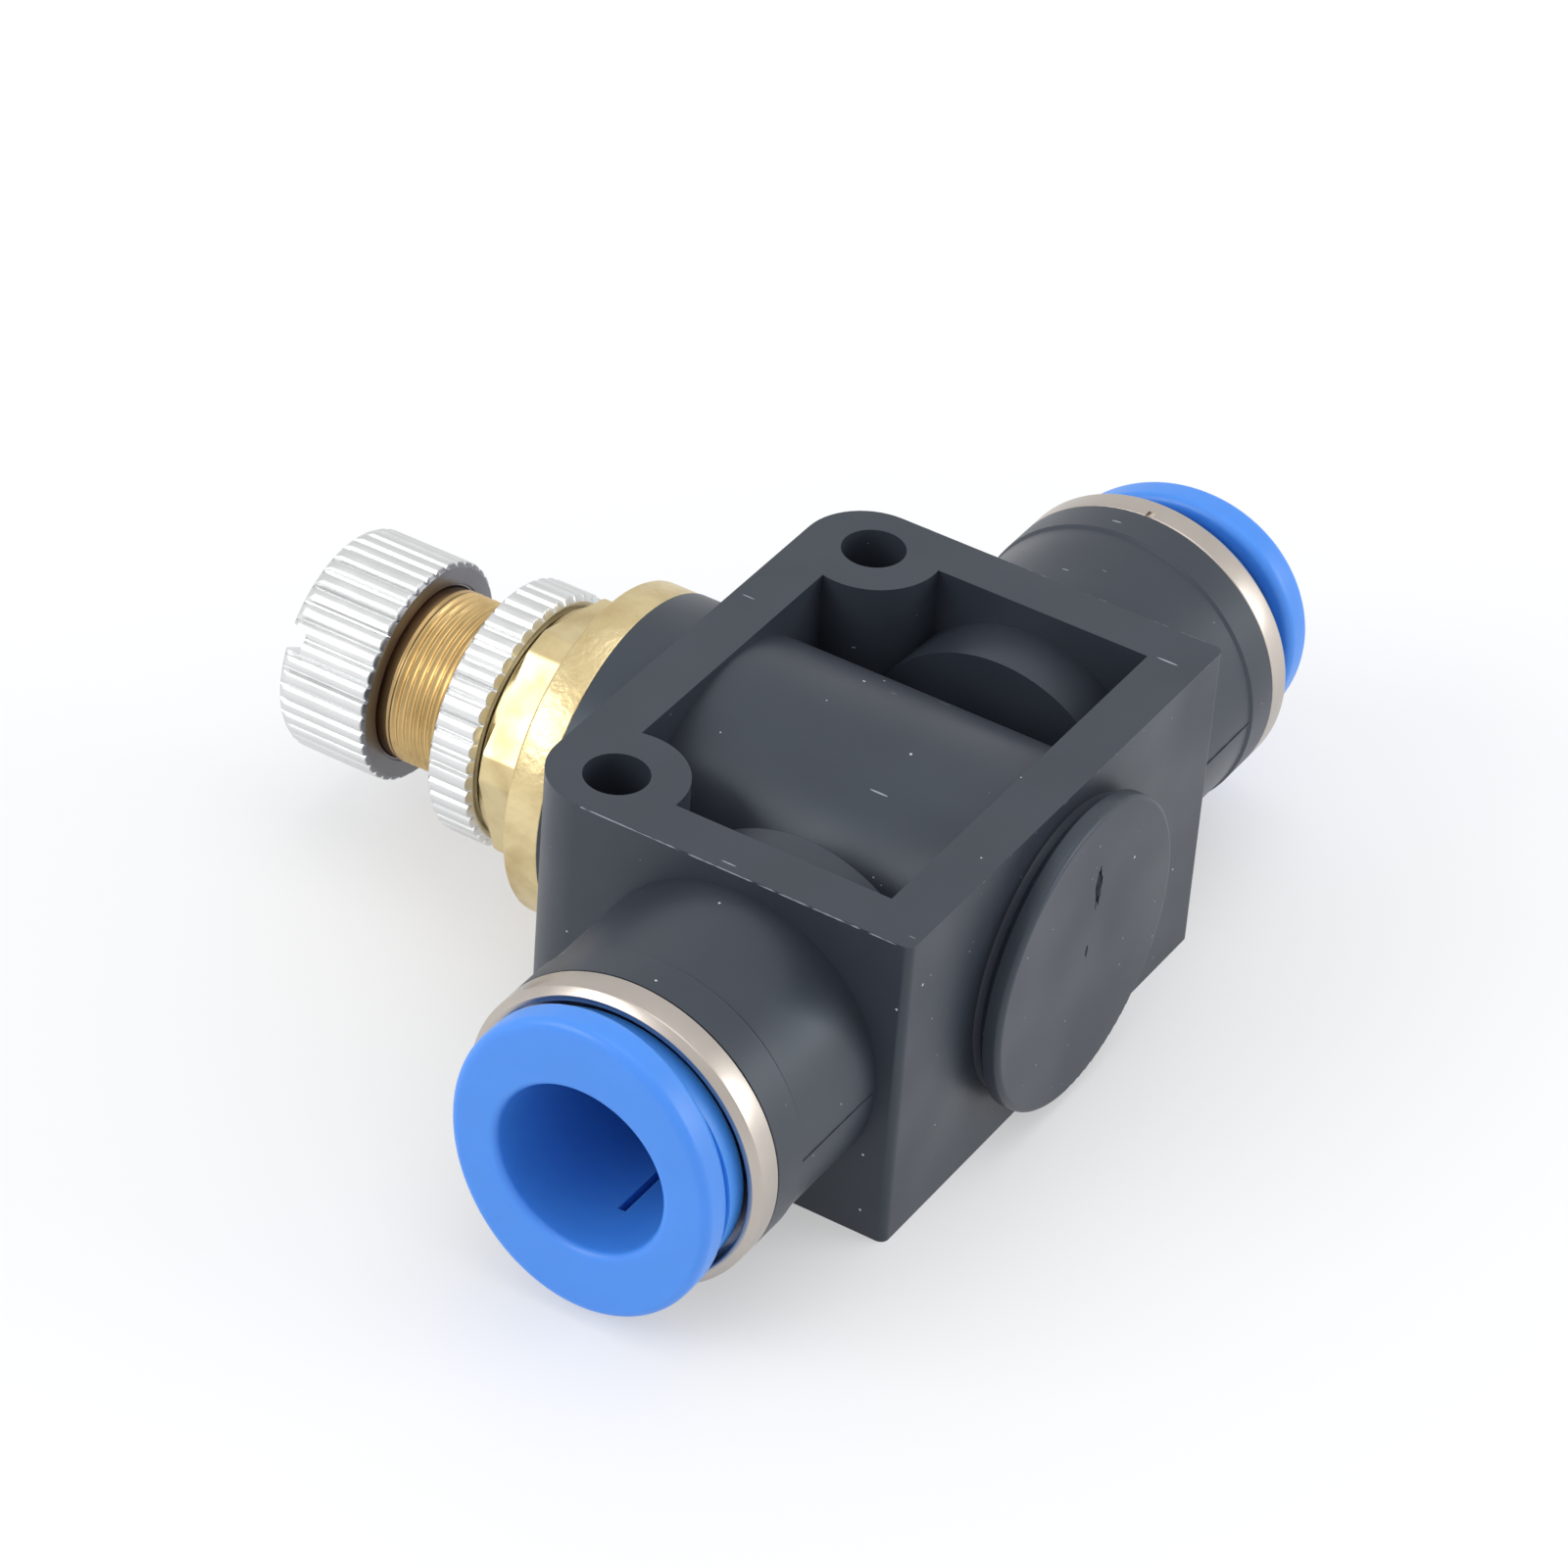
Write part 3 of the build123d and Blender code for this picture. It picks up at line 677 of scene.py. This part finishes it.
class VALVE_OT_bushing(bpy.types.Operator):
    """Brass bushing with its flange, hexagon and lip"""
    bl_idname = "valve.bushing"
    bl_label = "Bushing"

    def execute(self, context):
        size = sizes()
        flange = size.bushing_flange / MM
        corner = size.hex_corner / MM
        outline = needle_outline([
            (7.2, 5.0, 0), (7.2, 5.95, 0.2), (9.6, 5.95, 0), (9.6, 7.18, 0.2),
            (11.0, 7.18, 0), (11.0, 5.4, 0), (13.3, 5.4, 0), (13.3, 7.18, 0), (16.92, 7.18, 0),
            (16.92, flange, 0.1), (19.2, flange, 0.22), (19.2, corner + 0.25, 0.2),
            (19.4, corner, 0.12), (22.35, corner, 0.1), (22.75, corner - 0.75, 0.1),
            (22.76, 6.7, 0.02), (22.95, 6.7, 0.05), (22.95, 5.6, 0.1), (22.65, 5.28, 0),
            (15.1, 5.28, 0), (15.1, 3.28, 0), (8.9, 3.28, 0), (8.9, 5.0, 0)])
        hexagon = hexagon_shape(size.hex_flats, size.hex_corner, radians(HEXAGON_TURN))
        hex_start = FLOW_Y + 19.25 * MM

        def shape(along, reach, angle):
            return hexagon(along, reach, angle) if along > hex_start else reach

        mesh = turned_mesh("brass_bushing", finer(outline, 1 * MM), on_needle_axis, 360, shape, 24)
        made = piece("brass_bushing", mesh, "valve", "brass", "needle_bushing")
        painted(made, finish_of("turned_brass", turned_brass))
        return {"FINISHED"}


class VALVE_OT_needle(bpy.types.Operator):
    """Needle with its tip, seal groove and threaded stem"""
    bl_idname = "valve.needle"
    bl_label = "Needle"

    def execute(self, context):
        size = sizes()
        thread_low = FLOW_Y + 18.7 * MM
        thread_high = FLOW_Y + 30.2 * MM
        thread = size.thread_radius / MM
        stem = needle_outline([
            (0.2, 0, 0), (0.2, 0.9, 0.15), (4.9, 2.3, 0.1), (5.8, 3.2, 0.1), (6.8, 3.2, 0),
            (6.8, 2.7, 0), (7.3, 2.7, 0), (7.3, 3.2, 0), (12.0, 3.2, 0), (12.0, 2.2, 0),
            (13.3, 2.2, 0), (13.3, 3.2, 0), (18.3, 3.2, 0), (18.7, thread, 0)])
        head = needle_outline([
            (30.25, thread, 0), (30.5, thread - 0.1, 0), (31.1, thread, 0),
            (35.3, thread, 0), (35.3, 0, 0)])
        first, last = Vector(stem[-1]), Vector(head[0])
        steps = ceil((last - first).length / (size.pitch / THREAD_STEPS))
        outline = stem + [tuple(first.lerp(last, step / steps)) for step in range(1, steps)] + head

        def shape(along, reach, angle):
            if not thread_low < along < thread_high or reach < size.thread_radius - size.thread_depth:
                return reach
            turn = (along / size.pitch - angle / (2 * pi)) % 1
            valley = 0.5 + 0.5 * cos(2 * pi * (turn - 0.5))
            ends = min(1.0, (along - thread_low) / size.pitch, (thread_high - along) / size.pitch)
            return reach - size.thread_depth * valley ** 0.8 * ends

        mesh = turned_mesh("brass_needle", outline, on_needle_axis, 96, shape, 50)
        made = piece("brass_needle", mesh, "needle", "brass", "needle")
        painted(made, finish_of("stem_brass", stem_brass))
        return {"FINISHED"}


def knurled_nickel():
    """Nickel over a knurled rim."""
    return plated_metal("knurled_nickel", Vector(linear("#DCDDDD")), 0.3, 0.38, 0.35)


def knob_nickel():
    """Nickel over a knurled rim, with painted shade and a painted dark reflection on the face towards the
    body.
    """
    # Painted shade: the face towards the body, below 30.95 mm along the needle axis, is dark grey.
    return plated_metal(
        "knob_nickel", Vector(linear("#DCDDDD")), 0.3, 0.38, 0.35, (31.05, 30.95, "#7C7C81"))


def nickel_plate():
    """Nickel over a smooth pressed ring."""
    return plated_metal("nickel_plate", Vector(colours().nickel), 0.3, 0.38, 2.5)


class VALVE_OT_knob(bpy.types.Operator):
    """Knurled knob with its slot"""
    bl_idname = "valve.knob"
    bl_label = "Knob"

    def execute(self, context):
        size = sizes()
        rim = size.knob_radius / MM
        outline = needle_outline([
            (30.9, 5.22, 0), (30.9, 5.36, 0.02), (30.8, 5.36, 0.02), (30.8, rim - 0.3, 0.15),
            (31.05, rim, 0.15), (36.79, rim, 0.7), (36.79, 0.6, 0), (36.79, 0, 0), (35.32, 0, 0),
            (35.32, 5.22, 0)])
        shape = knurl(size.knob_radius, size.knob_grooves, size.groove_depth, 3)
        mesh = turned_mesh("knurled_knob", finer(outline, 0.9 * MM), on_needle_axis,
                           size.knob_grooves * GROOVE_STEPS, shape, 28)
        made = piece("knurled_knob", mesh, "needle", "knurled_metal", "knob")
        outer_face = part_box("knob")[1].y
        centre = Matrix.Translation((0, 0, AXIS_Z)) @ Matrix.Rotation(radians(SLOT_TURN), 4, "Y")
        across = 8 * MM
        half = size.slot_width / 2
        cut_away(made, [block_cutter(
            (-across, outer_face - size.slot_depth, -half), (across, outer_face + MM, half), centre)])
        painted(made, finish_of("knob_nickel", knob_nickel))
        return {"FINISHED"}


class VALVE_OT_locknut(bpy.types.Operator):
    """Knurled locknut"""
    bl_idname = "valve.locknut"
    bl_label = "Locknut"

    def execute(self, context):
        size = sizes()
        rim = size.locknut_radius / MM
        outline = needle_outline([
            (23.0, 5.55, 0.1), (23.0, rim - 0.45, 0.15), (23.25, rim, 0.12), (25.65, rim, 0.15),
            (25.9, rim - 0.4, 0.2), (25.9, 5.55, 0.1), (25.65, 5.28, 0), (23.25, 5.28, 0)])
        shape = knurl(size.locknut_radius, size.locknut_grooves, size.groove_depth, 8)
        mesh = turned_mesh("knurled_locknut", finer(outline, 0.7 * MM), on_needle_axis,
                           size.locknut_grooves * GROOVE_STEPS, shape, 28)
        made = piece("knurled_locknut", mesh, "locknut", "knurled_metal", "locknut")
        painted(made, finish_of("knurled_nickel", knurled_nickel))
        return {"FINISHED"}


class VALVE_OT_cap_rings(bpy.types.Operator):
    """Nickel-plated ring at each port's mouth"""
    bl_idname = "valve.cap_rings"
    bl_label = "Cap Rings"

    def execute(self, context):
        for port, side in SIDES.items():
            outline = flow_outline(side, [
                (22.62, 7.4, 0), (25.9, 7.4, 0), (25.9, 6.55, 0.1), (27.0, 6.55, 0), (27.0, 8.35, 0),
                (28.35, 8.35, 0.12), (28.35, 8.72, 0.12), (27.95, 9.1, 0.18), (26.42, 9.1, 0.12),
                (26.42, 7.98, 0), (22.62, 7.98, 0)], 4)
            mesh = turned_mesh(port + "_nickel_ring", outline, on_flow_axis, 240)
            made = piece(port + "_nickel_ring", mesh, "valve", "nickel", port + "_cap_ring")
            if port == "far":
                # A nick that the press tool left in the edge beside the sleeve.
                top = Vector((0, FLOW_Y, AXIS_Z + 9.1 * MM))
                cut_away(made, [block_cutter(
                    top + Vector((26.3, -0.2, -0.16)) * MM, top + Vector((26.95, 0.25, 0.2)) * MM)])
            painted(made, finish_of("nickel_plate", nickel_plate))
        return {"FINISHED"}


class VALVE_OT_release_rings(bpy.types.Operator):
    """Blue release ring with its oval flange at each port"""
    bl_idname = "valve.release_rings"
    bl_label = "Release Rings"

    def execute(self, context):
        size = sizes()
        for port, side in SIDES.items():
            turn = radians(FLANGE_TURN[port])
            name = port + "_blue_ring"
            oval = size.flange_long / MM
            bore = size.bore / MM
            outline = flow_outline(side, [
                (20.8, bore, 0), (31.5, bore, 0.45), (31.5, oval, size.flange_round / MM),
                (29.4, oval, size.flange_round / MM), (29.4, 7.4, 0), (29.3, 7.95, 0), (28.05, 7.95, 0),
                (28.05, 6.45, 0), (25.7, 6.45, 0), (25.7, 6.72, 0.1), (25.3, 6.72, 0.1), (25.1, 6.45, 0),
                (21.3, 6.45, 0), (20.8, 5.5, 0)], 6)
            wide = size.flange_long - size.flange_round

            def shape(along, reach, angle):
                """Draw the flange in towards its short axis, the more the further out a point is."""
                if side * along < 29.39 * MM or reach < 7.5 * MM:
                    return reach
                squeeze = size.flange_short / hypot(
                    size.flange_short / size.flange_long * sin(angle - turn), cos(angle - turn))
                return reach - (size.flange_long - squeeze) * min(1, (reach - 7.4 * MM) / (wide - 7.4 * MM))

            mesh = turned_mesh(name, finer(outline, 0.8 * MM), on_flow_axis, 240, shape, 40)
            made = piece(name, mesh, port + "_release", "release_plastic", port + "_release_ring")
            ends = sorted((side * 20 * MM, side * 27.5 * MM))
            half = size.slit / 2
            cutters = []
            for number in range(3):
                centre = Matrix.Translation((0, FLOW_Y, AXIS_Z)) @ Matrix.Rotation(
                    turn + radians(120 * number - 90), 4, "X")
                cutters.append(block_cutter((ends[0], 4 * MM, -half), (ends[1], 8 * MM, half), centre))
            cut_away(made, cutters)
            painted(made, finish_of("blue_acetal", blue_acetal))
        return {"FINISHED"}


class VALVE_OT_insides(bpy.types.Operator):
    """Finishes of the pieces inside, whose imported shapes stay"""
    bl_idname = "valve.insides"
    bl_label = "Insides"

    def execute(self, context):
        tint = colours()
        rubber = plain_material("moulded_rubber", Vector(tint.rubber), 0.55)
        spacer = plain_material("moulded_acetal", Vector(tint.spacer), 0.4)
        steel = plain_material("stamped_steel", Vector(tint.steel), 0.28, 1.0)
        brass = finish_of("turned_brass", turned_brass)
        finishes = {
            "throttle_sleeve": brass, "check_seal": rubber, "bushing_o_ring": rubber,
            "needle_o_ring": rubber, "needle_clip": steel}
        for port in SIDES:
            finishes[port + "_tube_seal"] = rubber
            finishes[port + "_grip_claw"] = steel
            finishes[port + "_guide_ring"] = spacer
            finishes[port + "_backup_ring"] = spacer
        for node, material in finishes.items():
            painted(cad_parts[node], material)
        return {"FINISHED"}


# ---------------------------------------------------------------- stage

CAMERA_AZIMUTH = -60.66
CAMERA_ELEVATION = 36.79
CAMERA_ROLL = 4.60
CAMERA_DISTANCE = 376.49 * MM
CAMERA_LENS = 158.3
CAMERA_AIM = Vector((-1.49, -3.68, 14.02)) * MM


def soft_light(name, place, width, height, power):
    """Rectangular studio light that faces the middle of the floor."""
    light = bpy.data.lights.new(name, "AREA")
    light.shape = "RECTANGLE"
    light.size = width
    light.size_y = height
    light.energy = power
    made = bpy.data.objects.new(name, light)
    bpy.context.scene.collection.objects.link(made)
    made.location = place
    made.rotation_euler = (-Vector(place)).to_track_quat("-Z", "Y").to_euler()
    return made


class VALVE_OT_stage(bpy.types.Operator):
    """Pale floor, soft lights and the camera"""
    bl_idname = "valve.stage"
    bl_label = "Stage"

    def execute(self, context):
        scene = bpy.context.scene
        scene.view_settings.view_transform = "Standard"
        work = bmesh.new()
        bmesh.ops.create_grid(work, x_segments=1, y_segments=1, size=2)
        mesh = bpy.data.meshes.new("floor")
        work.to_mesh(mesh)
        work.free()
        floor = bpy.data.objects.new("floor", mesh)
        scene.collection.objects.link(floor)
        floor.location.z = -0.02 * MM
        material, tree, shader, place = blank_material("milky_board")
        shader.inputs["Base Color"].default_value = opaque(colours().floor)
        shader.inputs["Roughness"].default_value = 0.6
        # The board is milky and lit from below, which keeps the shadows on it faint.
        shader.inputs["Emission Color"].default_value = (1.0, 1.0, 1.0, 1)
        shader.inputs["Emission Strength"].default_value = 0.4
        painted(floor, material)

        world = bpy.data.worlds.new("studio")
        scene.world = world
        world.use_nodes = True
        glow = world.node_tree.nodes["Background"]
        glow.inputs["Color"].default_value = (1.0, 1.0, 1.0, 1)
        glow.inputs["Strength"].default_value = 0.88

        soft_light("left_light", (-0.62, 0.46, 0.50), 0.6, 0.45, 3.2)
        soft_light("right_light", (0.45, -0.80, 0.32), 0.6, 0.4, 3.0)
        soft_light("top_light", (0.05, -0.1, 0.95), 0.7, 0.7, 1.7)

        across, up = radians(CAMERA_AZIMUTH), radians(CAMERA_ELEVATION)
        back = Vector((sin(across) * cos(up), -cos(across) * cos(up), sin(up)))
        right = Vector((cos(across), sin(across), 0))
        above = back.cross(right)
        roll = radians(CAMERA_ROLL)
        tilted_right = right * cos(roll) + above * sin(roll)
        tilted_up = above * cos(roll) - right * sin(roll)
        data = bpy.data.cameras.new("camera")
        data.lens = CAMERA_LENS
        data.sensor_width = 36
        data.clip_start = 0.01
        camera = bpy.data.objects.new("camera", data)
        scene.collection.objects.link(camera)
        camera.matrix_world = Matrix.Translation(CAMERA_AIM + back * CAMERA_DISTANCE) @ Matrix(
            (tilted_right, tilted_up, back)).transposed().to_4x4()
        scene.camera = camera
        return {"FINISHED"}


# ---------------------------------------------------------------- panel and running

OPERATORS = (
    VALVE_OT_body, VALVE_OT_flash, VALVE_OT_bushing, VALVE_OT_needle, VALVE_OT_knob, VALVE_OT_locknut,
    VALVE_OT_cap_rings, VALVE_OT_release_rings, VALVE_OT_insides, VALVE_OT_stage)


class VALVE_PT_pieces(bpy.types.Panel):
    """Lists the valve's pieces"""
    bl_idname = "VALVE_PT_pieces"
    bl_label = "Flow Control Valve"
    bl_space_type = "VIEW_3D"
    bl_region_type = "UI"
    bl_category = "Valve"

    def draw(self, context):
        for settings in (context.scene.valve_sizes, context.scene.valve_colours):
            for name in settings.__annotations__:
                self.layout.prop(settings, name)
        for operator in OPERATORS:
            self.layout.operator(operator.bl_idname)


CLASSES = (ValveSizes, ValveColours, *OPERATORS, VALVE_PT_pieces)


def register():
    """Make the classes known and hang the settings on the scene."""
    for each in CLASSES:
        bpy.utils.register_class(each)
    bpy.types.Scene.valve_sizes = bpy.props.PointerProperty(type=ValveSizes)
    bpy.types.Scene.valve_colours = bpy.props.PointerProperty(type=ValveColours)


def unregister():
    """Take the settings and the classes away again."""
    del bpy.types.Scene.valve_colours
    del bpy.types.Scene.valve_sizes
    for each in reversed(CLASSES):
        bpy.utils.unregister_class(each)


def main():
    """Build every piece in order."""
    register()
    for step in ("body", "flash", "bushing", "needle", "knob", "locknut", "cap_rings", "release_rings",
                 "insides", "stage"):
        getattr(bpy.ops.valve, step)()


if __name__ == "__main__":
    main()
